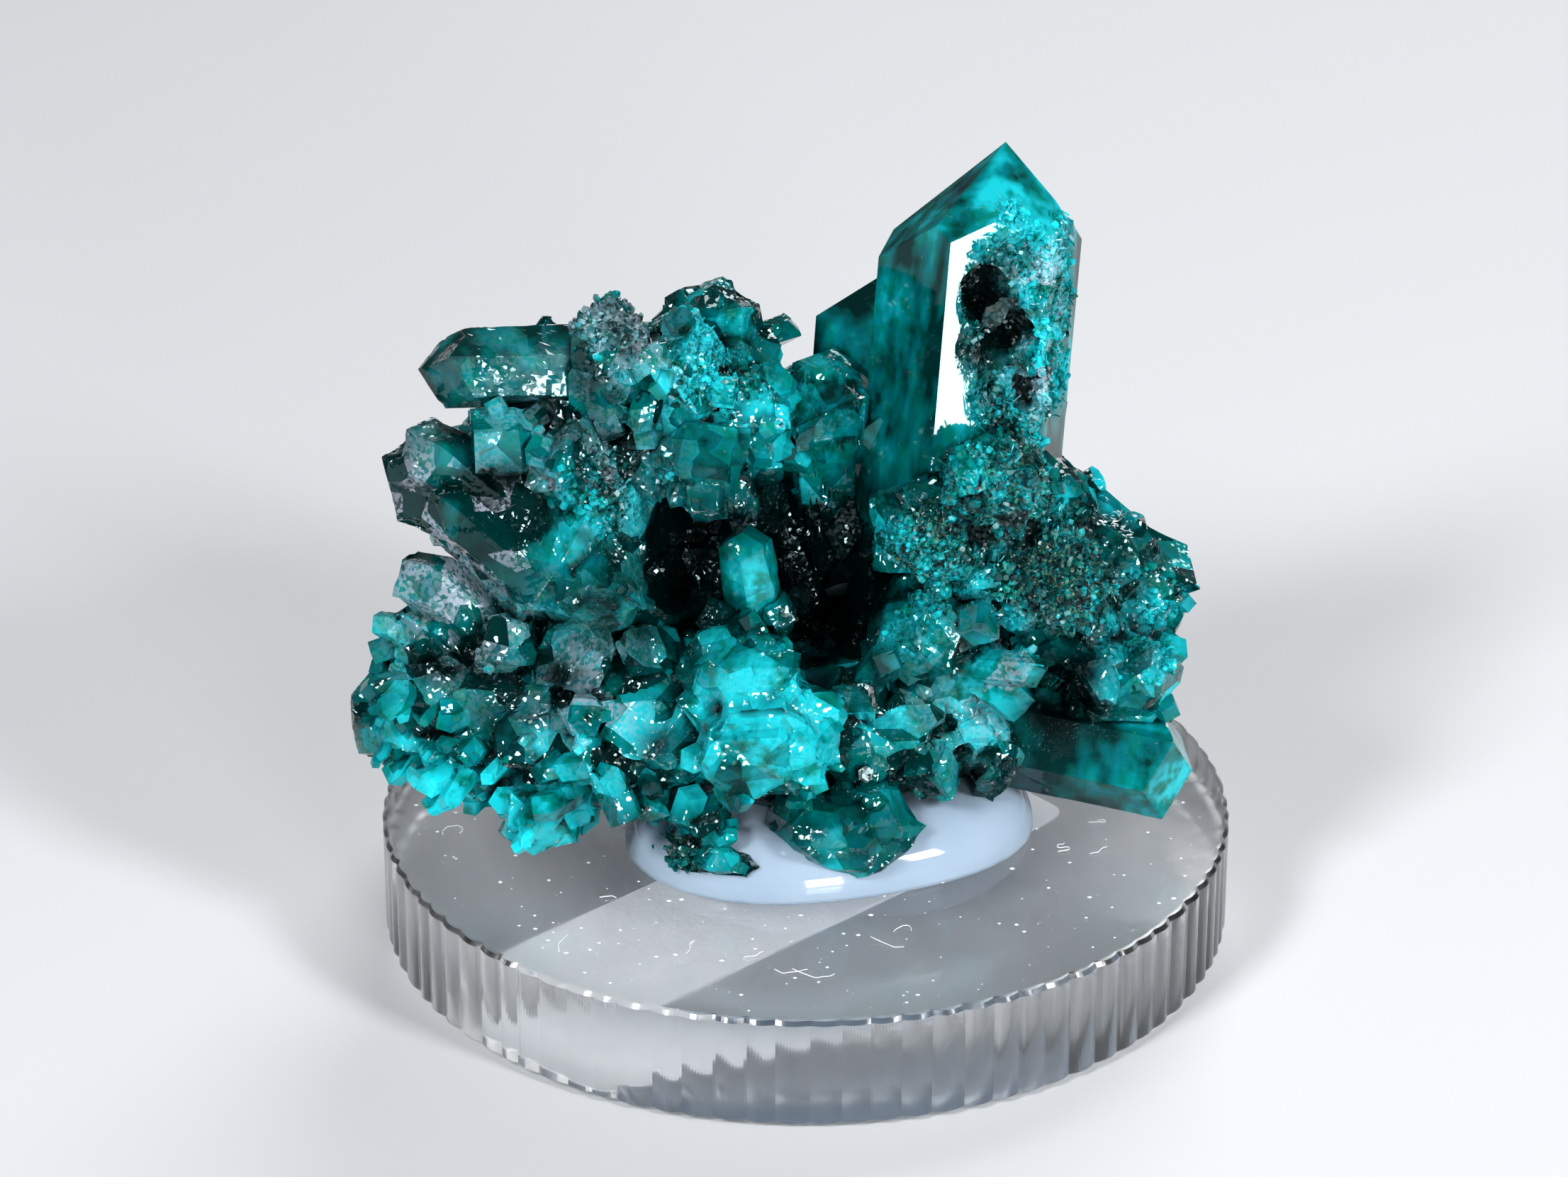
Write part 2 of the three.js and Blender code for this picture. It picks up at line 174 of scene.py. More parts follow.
def wrap_rings(rings):
    """Triangles of a closed skin over rings of equal length, with a fan to the middle of the first and the last."""
    count, around = rings.shape[:2]
    index = np.arange(count * around).reshape(count, around)
    following = np.roll(index, -1, axis=1)
    low, low_next, high, high_next = index[:-1], following[:-1], index[1:], following[1:]
    sides = np.stack((low, low_next, high_next, low, high_next, high), -1).reshape(-1, 3)
    start, end = count * around, count * around + 1
    first = np.stack((np.full(around, start), following[0], index[0]), -1)
    last = np.stack((np.full(around, end), index[-1], following[-1]), -1)
    points = np.vstack((rings.reshape(-1, 3), rings[0].mean(0), rings[-1].mean(0)))
    return points, np.vstack((sides, first, last))


HASH_WAY = np.array((127.1, 311.7, 74.7))
HASH_GAIN = 43758.5453
SEED_STEP = 17.31


def hashed(cells, salt=0):
    """A repeatable random value from 0 to 1 for each whole-numbered cell: the tail of a sine made very large."""
    mixed = np.sin(cells @ HASH_WAY + 61.7 * salt) * HASH_GAIN
    return mixed - np.floor(mixed)


def noise(points, size, seed):
    """Smooth noise from -1 to 1: random values at the corners of cubes of this size, eased between corners."""
    scaled = points / size + seed * SEED_STEP
    corner = np.floor(scaled)
    part = scaled - corner
    part = part * part * (3 - 2 * part)
    total = np.zeros(len(points))
    for step in product((0, 1), repeat=3):
        share = np.prod(np.where(step, part, 1 - part), axis=1)
        total += share * (2 * hashed(corner + step) - 1)
    return total


# %% [markdown]
# ## Node helpers
#
# A material is a small graph. These helpers add a node, set or link its inputs, and mix two colours, so that
# each material below reads as a recipe.

# %% Node helpers
def place(tree, kind, inputs=None, **settings):
    """Adds a shader node, with its settings as attributes and its inputs set, or linked when given a socket."""
    made = tree.nodes.new(kind)
    for key, value in settings.items():
        setattr(made, key, value)
    for key, value in (inputs or {}).items():
        if isinstance(value, bpy.types.NodeSocket):
            tree.links.new(value, made.inputs[key])
        else:
            made.inputs[key].default_value = value
    return made


def blend(tree, factor, low, high):
    """A colour between low and high."""
    colours = {6: low, 7: high}
    inputs = {key: (*c, 1) if isinstance(c, tuple) else c for key, c in colours.items()}
    return place(tree, "ShaderNodeMix", {0: factor, **inputs}, data_type="RGBA").outputs[2]


def ramp(tree, value, low, high, to_low=0.0, to_high=1.0):
    """A value carried from low..high to to_low..to_high, and held at the ends."""
    inputs = {"Value": value, "From Min": low, "From Max": high, "To Min": to_low, "To Max": to_high}
    return place(tree, "ShaderNodeMapRange", inputs).outputs[0]


def sums(tree, operation, first, second):
    """The result of a maths node."""
    return place(tree, "ShaderNodeMath", {0: first, 1: second}, operation=operation).outputs[0]


def attribute(tree, name):
    """A value that each point of the mesh carries."""
    return place(tree, "ShaderNodeAttribute", attribute_name=name).outputs["Fac"]


def new_material(name):
    """A material with an empty graph but for its Principled shader and output."""
    material = bpy.data.materials.new(name)
    material.use_nodes = True
    return material, material.node_tree, material.node_tree.nodes["Principled BSDF"]


# %% [markdown]
# ## Mineral variation, shared by the materials
#
# A crystal's colour drifts over millimetres and is clouded at a finer size. It could be painted, but a group of
# noises on object coordinates gives it at the right size on every piece. `Scale` is in features per metre, so
# 330 is a drift of about three millimetres.

# %% Variation group
FINE_RATE = 6.0
VEIL_STRETCH = (3.0, 3.0, 1.1)


def variation_group():
    """Broad is a slow noise, Fine one six times as quick, and Veil one drawn out upright, as growth veils are."""
    group = bpy.data.node_groups.new("mineral_variation", "ShaderNodeTree")
    group.interface.new_socket("Scale", in_out="INPUT", socket_type="NodeSocketFloat")
    for output in ("Broad", "Fine", "Veil"):
        group.interface.new_socket(output, in_out="OUTPUT", socket_type="NodeSocketFloat")
    entry = place(group, "NodeGroupInput")
    leave = place(group, "NodeGroupOutput")
    where = place(group, "ShaderNodeTexCoord").outputs["Object"]
    quick = sums(group, "MULTIPLY", entry.outputs[0], FINE_RATE)
    drawn = place(group, "ShaderNodeVectorMath", {0: where, 1: VEIL_STRETCH}, operation="MULTIPLY").outputs[0]
    broad = place(group, "ShaderNodeTexNoise", {"Vector": where, "Scale": entry.outputs[0], "Detail": 2.0})
    fine = place(group, "ShaderNodeTexNoise", {"Vector": where, "Scale": quick, "Detail": 2.0})
    veil = place(group, "ShaderNodeTexNoise", {"Vector": drawn, "Scale": entry.outputs[0], "Detail": 2.0})
    group.links.new(broad.outputs[0], leave.inputs["Broad"])
    group.links.new(fine.outputs[0], leave.inputs["Fine"])
    group.links.new(veil.outputs[0], leave.inputs["Veil"])
    return group


VARIATION = variation_group()


def variation(tree, scale):
    return place(tree, "ShaderNodeGroup", {"Scale": scale}, node_tree=VARIATION).outputs


# %% [markdown]
# ## Etched facets, shared by the gem materials
#
# Corrosion leaves a crystal face as a mosaic of small flat plates, each leaning its own way, and they are what
# glitters. Modelling every plate would take millions of faces. A Voronoi texture cuts space into cells instead,
# and gives each a random colour. That colour is used as a slope: the height climbs evenly along it from the
# cell's middle, so a bump made from it is flat within a cell and turns sharply at its edge.

# %% Facet group
def facet_group():
    """Height is the offset from the cell's middle dotted with its slope, and Shade one random value per cell."""
    group = bpy.data.node_groups.new("etched_facets", "ShaderNodeTree")
    group.interface.new_socket("Scale", in_out="INPUT", socket_type="NodeSocketFloat")
    for output in ("Height", "Shade"):
        group.interface.new_socket(output, in_out="OUTPUT", socket_type="NodeSocketFloat")
    entry = place(group, "NodeGroupInput")
    leave = place(group, "NodeGroupOutput")
    where = place(group, "ShaderNodeTexCoord").outputs["Object"]
    cells = place(group, "ShaderNodeTexVoronoi", {"Vector": where, "Scale": entry.outputs[0]})
    offset = place(group, "ShaderNodeVectorMath", {0: where, 1: cells.outputs["Position"]}, operation="SUBTRACT")
    half = (0.5, 0.5, 0.5)
    slope = place(group, "ShaderNodeVectorMath", {0: cells.outputs["Color"], 1: half}, operation="SUBTRACT")
    climb = place(group, "ShaderNodeVectorMath", {0: offset.outputs[0], 1: slope.outputs[0]}, operation="DOT_PRODUCT")
    parts = place(group, "ShaderNodeSeparateColor", {"Color": cells.outputs["Color"]})
    group.links.new(climb.outputs["Value"], leave.inputs["Height"])
    group.links.new(parts.outputs[1], leave.inputs["Shade"])
    return group


FACETS = facet_group()


def facets(tree, scale):
    made = place(tree, "ShaderNodeGroup", {"Scale": scale}, node_tree=FACETS)
    return made.outputs["Height"], made.outputs["Shade"]


# %% [markdown]
# ## Dioptase
#
# The gem is deep green where it is thick, aqua where light gets through it, and nearly black in the gaps, where
# the black is painted shade. Its faces are glassy, but much of this cluster is etched, with a painted grey-lilac
# reflection of the lamps on its plates, or furred with a crust. One glass shader could not show all of that, so the
# shader is part see-through with an absorbing inside, and attributes say where it is aqua, etched, crusted or
# blotted with black, and where shade and the grey-lilac reflection are painted.

# %% Dioptase material
DARK_GREEN = (0.0, 0.021, 0.02)
EMERALD = (0.0, 0.185, 0.15)
TEAL = (0.0, 0.17, 0.2)
AQUA = (0.008, 0.47, 0.54)
# Black for painted shade and for blots, and grey-lilac for a painted reflection of the lamps on etched plates.
SHADE_AND_BLOT_BLACK = (0.0, 0.003, 0.003)
PAINTED_LILAC_SHEEN = (0.4, 0.43, 0.53)
OLIVE = (0.09, 0.1, 0.03)
REFLECTION = (0.7, 0.96, 1.0, 1)
REFLECTION_LEVEL = 0.2
INSIDE = (0.0, 0.8, 0.78, 1)
INSIDE_DENSITY = 500.0
DIOPTASE_IOR = 1.66
DRIFT_SCALE, PLATE_SCALE, GRAIN_SCALE = 330, 950, 8000


def gem_material(name, transmission, bumped=True):
    """A level from darkest to brightest for each plate, as a colour, and the plates' slopes as a bump.

    The level adds a slow drift, each plate's and grain's own shade, upright veils where a crystal is whole, and the
    aqua. Over its colour lie olive moss in the crust, a painted grey-lilac reflection on etched plates, and black for
    painted shade between crystals and for blots.
    """
    material, tree, shader = new_material(name)
    drift = variation(tree, DRIFT_SCALE)
    broad, fine, veil = (drift[key] for key in ("Broad", "Fine", "Veil"))
    coarse_height, coarse_shade = facets(tree, PLATE_SCALE)
    small_height, small_shade = facets(tree, GRAIN_SCALE)
    aqua, crust, etch, painted_sheen = (attribute(tree, key) for key in ("aqua", "crust", "etch", "painted_sheen"))
    plates = sums(tree, "MULTIPLY", etch, ramp(tree, coarse_shade, 0, 1, -0.42, 0.3))
    grains = sums(tree, "MULTIPLY", crust, ramp(tree, small_shade, 0, 1, -0.25, 0.35))
    tone = ramp(tree, attribute(tree, "tone"), 0, 1, -0.2, 0.25)
    level = sums(tree, "ADD", ramp(tree, broad, 0.32, 0.72, 0.1, 0.6), tone)
    level = sums(tree, "ADD", level, sums(tree, "ADD", plates, grains))
    clouds = sums(tree, "MULTIPLY", ramp(tree, veil, 0.3, 0.7, -0.32, 0.22), ramp(tree, etch, 0, 0.5, 1, 0))
    level = sums(tree, "ADD", level, clouds)
    level = sums(tree, "ADD", level, sums(tree, "MULTIPLY", aqua, ramp(tree, fine, 0.3, 0.6, 0.25, 0.75)))
    body = blend(tree, ramp(tree, fine, 0.35, 0.6), EMERALD, TEAL)
    colour = blend(tree, ramp(tree, level, 0.2, 0.58), DARK_GREEN, body)
    colour = blend(tree, ramp(tree, level, 0.58, 0.92), colour, AQUA)
    moss = sums(tree, "MULTIPLY", sums(tree, "SUBTRACT", crust, aqua), ramp(tree, small_shade, 0.8, 0.85, 0, 0.8))
    colour = blend(tree, moss, colour, OLIVE)
    # Painted reflection: etched plates in the painted sheen patches turn grey-lilac, as the lamps mirrored in them.
    painted_sheen_mask = sums(tree, "MULTIPLY", painted_sheen, ramp(tree, coarse_shade, 0.45, 0.55, 0, 0.8))
    painted_sheen_mask = sums(tree, "MULTIPLY", painted_sheen_mask, ramp(tree, small_shade, 0.25, 0.6, 0.1, 1.0))
    colour = blend(tree, painted_sheen_mask, colour, PAINTED_LILAC_SHEEN)
    # Painted shade: black specks in bare crust for the shade between its grains, and the mesh's painted shade and
    # blots.
    bare = sums(tree, "SUBTRACT", crust, attribute(tree, "clear"))
    speck = sums(tree, "MULTIPLY", bare, ramp(tree, fine, 0.57, 0.64))
    shade_and_blots = sums(tree, "MAXIMUM", speck, attribute(tree, "shade_and_blots"))
    colour = blend(tree, shade_and_blots, colour, SHADE_AND_BLOT_BLACK)
    tree.links.new(colour, shader.inputs["Base Color"])
    rough = sums(tree, "ADD", ramp(tree, crust, 0, 1, 0.05, 0.3), sums(tree, "MULTIPLY", painted_sheen_mask, 0.3))
    rough = sums(tree, "ADD", rough, ramp(tree, shade_and_blots, 0.4, 1, 0, 0.1))
    tree.links.new(rough, shader.inputs["Roughness"])
    if bumped:
        lean = sums(tree, "MULTIPLY", coarse_height, ramp(tree, etch, 0, 1, 0.02, 0.42))
        fur = sums(tree, "MULTIPLY", small_height, sums(tree, "ADD", ramp(tree, etch, 0, 1, 0.0, 0.4), crust))
        height = sums(tree, "ADD", lean, fur)
        bump = place(tree, "ShaderNodeBump", {"Height": height, "Strength": 1.0, "Distance": 1.0})
        tree.links.new(bump.outputs[0], shader.inputs["Normal"])
    shader.inputs["IOR"].default_value = DIOPTASE_IOR
    shader.inputs["Specular IOR Level"].default_value = REFLECTION_LEVEL
    shader.inputs["Specular Tint"].default_value = REFLECTION
    shader.inputs["Transmission Weight"].default_value = transmission
    if transmission:
        absorb = place(tree, "ShaderNodeVolumeAbsorption", {"Color": INSIDE, "Density": INSIDE_DENSITY})
        tree.links.new(absorb.outputs[0], tree.nodes["Material Output"].inputs["Volume"])
    return material


gem = gem_material("dioptase_gem", transmission=0.25)
druse_gem = gem_material("dioptase_druse", transmission=0.0)
crust_gem = gem_material("dioptase_crust", transmission=0.0, bumped=False)
print("materials:", gem.name, druse_gem.name, crust_gem.name)

# %% [markdown]
# ## The cluster's skin
#
# The solid has the crystals' flat faces, but corrosion has broken many of them into small plates. A subdivision
# modifier would split every face alike, and round the crystals. The skin is a copy of the solid's triangles instead,
# with every edge that is too long halved until none is, so it has points enough to break without losing an edge.

# %% Skin of the cluster
LONGEST_EDGE = 0.38


def cad_triangles(name):
    """Merged points, in millimetres, and triangles of a CAD node."""
    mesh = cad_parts[name].data
    mesh.calc_loop_triangles()
    points = np.empty(len(mesh.vertices) * 3)
    corners = np.empty(len(mesh.loop_triangles) * 3, dtype=int)
    mesh.vertices.foreach_get("co", points)
    mesh.loop_triangles.foreach_get("vertices", corners)
    snapped = np.round(points.reshape(-1, 3) / MM, 4)
    merged, index = np.unique(snapped, axis=0, return_inverse=True)
    faces = index.ravel()[corners].reshape(-1, 3)
    whole = (faces != np.roll(faces, 1, axis=1)).all(axis=1)
    return merged, faces[whole]


def halve_long_edges(points, faces, longest):
    """One pass: the middle of each long edge is a new point, and a face with one, two or three becomes 2, 3 or 4."""
    pairs = np.sort(np.stack((faces, np.roll(faces, -1, axis=1)), -1).reshape(-1, 2), axis=1)
    edges, of_side = np.unique(pairs, axis=0, return_inverse=True)
    long = np.linalg.norm(points[edges[:, 0]] - points[edges[:, 1]], axis=1) > longest
    middle = np.full(len(edges), -1)
    middle[long] = len(points) + np.arange(long.sum())
    points = np.vstack((points, points[edges[long]].mean(axis=1)))
    mids = middle[of_side.ravel()].reshape(-1, 3)
    split = mids >= 0
    count = split.sum(axis=1)
    turn = np.where(count == 2, (split.argmin(axis=1) + 1) % 3, split.argmax(axis=1))
    order = (np.arange(3) + turn[:, None]) % 3
    (a, b, c), (ab, bc, ca) = (np.take_along_axis(each, order, 1).T for each in (faces, mids))
    parts = [
        np.stack((a, b, c), -1)[count == 0],
        np.stack((a, ab, c, ab, b, c), -1)[count == 1].reshape(-1, 3),
        np.stack((a, ab, c, ab, bc, c, ab, b, bc), -1)[count == 2].reshape(-1, 3),
        np.stack((a, ab, ca, ab, b, bc, ca, bc, c, ab, bc, ca), -1)[count == 3].reshape(-1, 3),
    ]
    return points, np.vstack(parts), bool(long.any())


def point_normals(points, faces):
    """The sum of the faces' area vectors round each point, made unit length."""
    corner = points[faces]
    area = np.cross(corner[:, 1] - corner[:, 0], corner[:, 2] - corner[:, 0])
    total = np.zeros_like(points)
    np.add.at(total, faces.ravel(), np.repeat(area, 3, axis=0))
    return total / np.maximum(np.linalg.norm(total, axis=1, keepdims=True), 1e-9)


skin, skin_faces = cad_triangles("dioptase_cluster")
unfinished = True
while unfinished:
    skin, skin_faces, unfinished = halve_long_edges(skin, skin_faces, LONGEST_EDGE)
print("skin:", len(skin), "points,", len(skin_faces), "triangles")

# %% [markdown]
# ## Where the cluster is aqua or crusted, and where shade and a grey-lilac reflection are painted
#
# Each patch of the real cluster is a soft ball: a centre in millimetres, a radius, and how strong each finish and
# each painted light is there. It could be painted on by hand, but a list can be read and changed. A point takes the
# strongest ball that reaches it, so the patches run into each other without edges. Aqua is where light gets through,
# crust is furred, painted sheen is a painted grey-lilac reflection of the lamps on etched plates, smooth is unbroken,
# mottle is blotted with black, shade and blots is painted shade in gaps, hollows and pits with those black blots
# added, and clear takes the shade and the blots away.

# %% Patches
PATCHES = [
    # The tall crystal: its aqua cap, the crust down the right of its front face, and painted shade in the pits of
    # that
    ((6.4, 1.6, 26.9), 2.6, dict(aqua=0.6)),
    ((4.4, 2.4, 25.6), 2.0, dict(aqua=0.45)),
    ((7.6, 0.4, 25.2), 1.2, dict(crust=0.8, aqua=1.2)),
    ((7.0, 1.0, 26.4), 0.8, dict(crust=0.7, aqua=1.0)),
    ((6.7, 0.3, 24.8), 1.2, dict(crust=1.0, aqua=0.8)),
    ((6.3, 0.0, 23.6), 1.2, dict(crust=1.0, aqua=0.6)),
    ((6.3, -0.5, 22.0), 1.2, dict(crust=1.0, aqua=0.4)),
    ((6.6, -0.9, 20.4), 1.2, dict(crust=1.0, aqua=0.4)),
    ((7.6, -1.3, 18.9), 1.4, dict(crust=1.0, aqua=0.4)),
    ((7.9, 0.1, 24.2), 1.3, dict(crust=0.6, aqua=1.3)),
    ((8.0, -0.3, 22.4), 1.4, dict(crust=0.6, aqua=1.3)),
    ((8.0, -0.7, 20.6), 1.4, dict(crust=0.6, aqua=1.1)),
    ((9.4, 1.8, 25.0), 1.6, dict(crust=0.9, aqua=1.2)),
    ((9.5, 1.4, 22.6), 1.7, dict(crust=0.9, aqua=1.2)),
    ((9.3, 1.0, 20.2), 1.7, dict(crust=0.9, aqua=1.0)),
    ((8.3, 0.3, 24.4), 1.2, dict(clear=1.4, painted_sheen=0.8)),
    ((8.4, 0.0, 22.4), 1.2, dict(clear=1.4, painted_sheen=1.0)),
    ((8.0, -0.4, 20.6), 1.1, dict(clear=1.2, painted_sheen=0.9)),
    ((6.2, 0.1, 24.0), 1.0, dict(shade_and_blots=1.8, crust=1.0)),
    ((6.3, 1.1, 23.9), 1.1, dict(shade_and_blots=2.6, crust=1.4)),
    ((6.7, -0.3, 22.8), 0.9, dict(shade_and_blots=1.5, crust=1.0)),
    ((6.9, 0.6, 22.5), 1.0, dict(shade_and_blots=2.2, crust=1.4)),
    ((6.0, -0.5, 21.8), 0.8, dict(shade_and_blots=1.1, crust=1.0)),
    ((7.6, 0.3, 20.7), 0.9, dict(shade_and_blots=1.2, crust=1.4)),
    ((6.3, -0.8, 20.6), 0.7, dict(shade_and_blots=0.9, crust=1.0)),
    ((2.3, 1.6, 23.2), 1.3, dict(aqua=0.6)),
    ((3.2, 0.8, 21.6), 2.2, dict(aqua=0.3)),
    # Painted shade low on the tall crystal's left side
    ((3.6, 0.2, 19.4), 1.6, dict(shade_and_blots=0.5)),
    # The shoulder and the column under it
    ((6.6, -3.6, 17.6), 2.8, dict(crust=1.0, aqua=0.3)),
    ((4.2, -4.0, 16.0), 2.2, dict(crust=1.0, aqua=0.4)),
    ((4.0, -4.6, 15.2), 1.0, dict(crust=0.8, aqua=1.3)),
    ((9.0, -3.4, 14.6), 3.0, dict(crust=1.0, aqua=0.35)),
    ((7.6, -4.2, 15.8), 1.0, dict(aqua=1.0)),
    # Painted shade in gaps of the shoulder and the column
    ((10.4, -1.8, 15.6), 1.3, dict(shade_and_blots=0.9)),
    ((3.4, -2.6, 18.0), 1.2, dict(shade_and_blots=0.9)),
    ((11.9, -2.8, 12.8), 2.4, dict(crust=0.8, aqua=1.1)),
    ((9.3, -3.6, 11.6), 1.4, dict(shade_and_blots=1.4)),
    ((3.6, -4.6, 13.4), 1.8, dict(crust=0.5, aqua=0.6)),
    ((6.6, -4.2, 11.0), 2.2, dict(aqua=1.2, painted_sheen=0.6)),
    # The egg, the barrel and the lower left
    ((-1.6, -6.8, 10.8), 3.2, dict(aqua=0.85, smooth=0.25)),
    ((1.5, -6.8, 6.4), 2.8, dict(aqua=0.2, smooth=0.55, mottle=0.5)),
    ((-13.4, -4.0, 8.4), 3.6, dict(aqua=0.35, mottle=0.5)),
    ((-9.0, -6.2, 6.6), 3.4, dict(aqua=1.0)),
    ((-9.4, -5.6, 9.6), 2.6, dict(mottle=1.0)),
    ((-10.8, -5.8, 7.2), 2.2, dict(aqua=1.2, clear=0.7)),
    ((-5.4, -6.0, 8.6), 2.2, dict(aqua=0.5)),
    # The left mass
    ((-9.4, -2.4, 18.0), 4.0, dict(mottle=1.0)),
    ((-7.4, -4.0, 14.0), 3.6, dict(mottle=1.0)),
    ((-6.4, -3.4, 18.4), 3.0, dict(crust=0.6, aqua=0.35)),
    ((-8.6, -3.0, 19.0), 3.0, dict(painted_sheen=0.35, aqua=0.15)),
    ((-12.4, -2.6, 16.4), 2.8, dict(painted_sheen=1.2)),
    ((-11.6, -3.2, 13.4), 2.0, dict(painted_sheen=0.9)),
    ((-7.6, -5.4, 11.4), 1.8, dict(painted_sheen=0.9, aqua=0.3)),
    ((-8.2, -4.6, 17.0), 1.7, dict(aqua=0.8, smooth=0.8)),
    ((-11.0, -0.8, 21.2), 2.6, dict(smooth=0.9)),
    ((-12.0, -2.4, 17.0), 3.0, dict(smooth=0.6)),
    # Painted shade in the gaps between the crystals of the left mass
    ((-9.0, -5.0, 13.4), 1.6, dict(shade_and_blots=0.8)),
    ((-7.2, -4.8, 14.8), 2.0, dict(shade_and_blots=0.45)),
    ((-10.8, -4.2, 14.8), 0.9, dict(shade_and_blots=1.1)),
    ((-8.4, -5.2, 12.0), 1.0, dict(shade_and_blots=1.1)),
    ((-6.2, -5.2, 12.4), 1.0, dict(shade_and_blots=1.1)),
    ((-12.8, -3.6, 11.6), 0.9, dict(shade_and_blots=1.1)),
    ((-5.0, -6.2, 9.8), 0.9, dict(shade_and_blots=1.0)),
    ((-10.0, -3.0, 18.6), 1.2, dict(shade_and_blots=0.9)),
    ((-6.0, -3.6, 20.6), 1.1, dict(shade_and_blots=0.9)),
    ((-10.6, -4.6, 10.2), 1.2, dict(shade_and_blots=0.8)),
    ((-3.0, -1.5, 22.4), 2.6, dict(crust=0.7, aqua=1.0)),
    ((-6.6, -1.5, 23.6), 2.0, dict(crust=0.7, aqua=0.3, painted_sheen=0.6)),
    # Behind, and the gem that lies at the lower right
    ((0.8, 1.8, 18.6), 2.8, dict(aqua=0.7, smooth=0.6)),
    ((12.8, -3.2, 6.8), 1.9, dict(aqua=0.9)),
    # The hollows, with painted shade in them
    ((-4.0, -2.8, 15.2), 2.1, dict(shade_and_blots=1.7)),
    ((-4.0, 0.2, 14.2), 2.8, dict(shade_and_blots=3.0)),
    ((0.5, -2.6, 13.4), 2.0, dict(shade_and_blots=1.6)),
    ((0.6, 0.6, 12.8), 2.3, dict(shade_and_blots=3.0)),
    ((2.0, -0.6, 16.2), 1.5, dict(shade_and_blots=1.0)),
    ((-1.8, -3.6, 14.8), 1.2, dict(clear=1.5, aqua=0.8, smooth=0.5)),
    ((8.6, -3.0, 9.8), 1.7, dict(shade_and_blots=1.8)),
    ((9.6, -1.4, 8.6), 1.4, dict(shade_and_blots=0.8)),
    ((-4.5, -5.8, 5.6), 1.8, dict(shade_and_blots=0.6, crust=0.6)),
]
FINISHES_AND_PAINTED_LIGHT = ("aqua", "crust", "shade_and_blots", "clear", "painted_sheen", "smooth", "mottle")
CRUST_GAIN, CRUST_START = 2.2, 0.7


def finishes_and_painted_light(points):
    """For each finish and painted light, the strongest patch at each point: strength times exp of minus distance over
    radius squared.

    Crust starts at an edge, is blotted with black where one noise is high, and loses its aqua where another is.
    Mottle is a finer blotting, both blottings join the painted shade, and clear takes all of that away.
    """
    reached = {name: np.zeros(len(points)) for name in FINISHES_AND_PAINTED_LIGHT}
    for centre, radius, strengths in PATCHES:
        near = np.exp(-((np.linalg.norm(points - np.array(centre), axis=1) / radius) ** 2))
        for name, strength in strengths.items():
            reached[name] = np.maximum(reached[name], np.minimum(strength * near, 1))
    reached["crust"] = np.clip(CRUST_GAIN * reached["crust"] - CRUST_START, 0, 1)
    blots = np.clip(3.2 * noise(points, 1.3, 12) - 0.5, 0, 1) * reached["crust"]
    spots = np.clip(3.0 * noise(points, 0.9, 14) - 0.2, 0, 1) * reached["mottle"]
    black = np.maximum(blots, spots)
    reached["shade_and_blots"] = np.maximum(reached["shade_and_blots"], black) * (1 - reached["clear"])
    dull = np.clip(1.5 * noise(points, 1.7, 13) + 0.2, 0, 1)
    reached["aqua"] *= 1 - 0.6 * reached["crust"] * dull
    return reached


print("patches:", len(PATCHES))

# %% [markdown]
# ## Breaking the skin into plates
#
# The larger plates are real shape. Space is cut into cells round scattered seeds, as the Voronoi texture does it,
# and the skin in each cell is leaned along the cell's own slope, so it becomes a mosaic of flat chips with small
# steps between them. Some crystals stay whole, as they are on the specimen. They are named by their axes, with a
# radius and how etched they are.

# %% Chips
WHOLE_CRYSTALS = [
    ((5.1, 0.4, 13.5), (6.3, 4.2, 27.9), 3.75, 0.0),
    ((2.2, 2.6, 9.0), (3.2, 6.3, 22.2), 3.1, 0.0),
    ((5.6, -0.6, 7.7), (13.5, -2.4, 6.8), 2.0, 0.05),
    ((-5.5, 0.6, 21.0), (-13.2, -0.6, 21.4), 1.5, 0.2),
    ((-8.5, 0.5, 15.2), (-14.6, -0.8, 18.2), 2.05, 0.35),
    ((-9.5, -0.8, 15.2), (-13.6, -1.8, 19.7), 1.35, 0.3),
    ((-8.6, -2.2, 13.4), (-12.8, -3.0, 18.0), 1.05, 0.3),
    ((-9.4, -1.6, 10.2), (-13.9, -2.4, 15.1), 1.2, 0.3),
    ((-4.6, -0.5, 18.2), (-2.6, -4.2, 19.4), 1.55, 0.4),
    ((-1.4, -2.6, 11.0), (-2.2, -3.0, 16.4), 1.05, 0.3),
    ((5.4, -2.0, 12.4), (6.0, -5.2, 14.0), 0.85, 0.1),
    ((4.8, -2.8, 11.2), (8.2, -4.6, 11.9), 0.7, 0.1),
    ((4.8, -2.0, 10.6), (7.9, -4.0, 10.4), 1.0, 0.1),
    ((1.4, -2.6, 9.6), (2.9, -5.2, 13.0), 0.65, 0.1),
    ((4.6, -0.6, 12.2), (3.6, -5.2, 13.0), 1.65, 0.4),
    ((-6.8, -0.6, 20.0), (-6.6, -1.2, 24.6), 1.55, 0.3),
]
CHIP_SEED, CHIP_SIZE, CHIP_LEAN, CHIP_SUNK, CHIP_DEPTH = 3, 2.1, 0.3, 0.12, 0.3
GRAIN_DEPTH = 0.2
# Painted shade in hollows: rings of neighbours averaged, where the shade starts, and the depth at which it is full.
HOLLOW_SHADE_RINGS, HOLLOW_SHADE_START, HOLLOW_SHADE_DEPTH = 11, 0.15, 0.24


